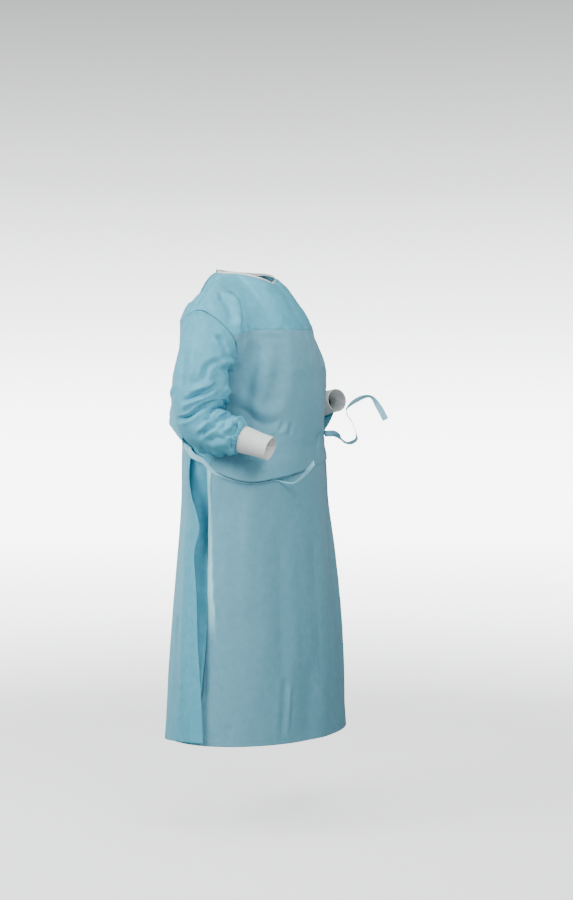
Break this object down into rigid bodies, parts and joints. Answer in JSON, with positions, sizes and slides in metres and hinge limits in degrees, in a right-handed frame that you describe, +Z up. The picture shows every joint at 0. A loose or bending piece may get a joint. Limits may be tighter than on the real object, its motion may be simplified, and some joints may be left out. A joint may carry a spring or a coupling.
{
  "type": "surgical gown",
  "caption": "Long-sleeved surgical gown in its worn form, hollow, with a wrap-over back, knit cuffs, a bound round neck and waist ties.",
  "frame": {"origin": "middle of the neck base, level with the top of the shoulders, where the wearer holds the gown up", "axes": "+Z up, the front faces -Y, the wearer's left is +X"},
  "size_m": [0.6239, 0.5336, 1.1988],
  "materials": {
    "nonwoven": "matt nonwoven with a soft sheen",
    "reinforced_nonwoven": "smoother reinforced nonwoven, slightly darker",
    "white_knit": "matt knit",
    "tie_tape": "matt nonwoven tape"
  },
  "bodies": {
    "root": {"front_upper": "nonwoven", "front_lower": "reinforced_nonwoven", "back_right": "nonwoven", "back_left": "nonwoven", "sleeve_right": "nonwoven", "sleeve_left": "nonwoven", "cuff_right": "white_knit", "cuff_left": "white_knit", "neck_binding": "white_knit", "tie_long": "tie_tape", "tie_short": "tie_tape"}
  },
  "joints": []
}
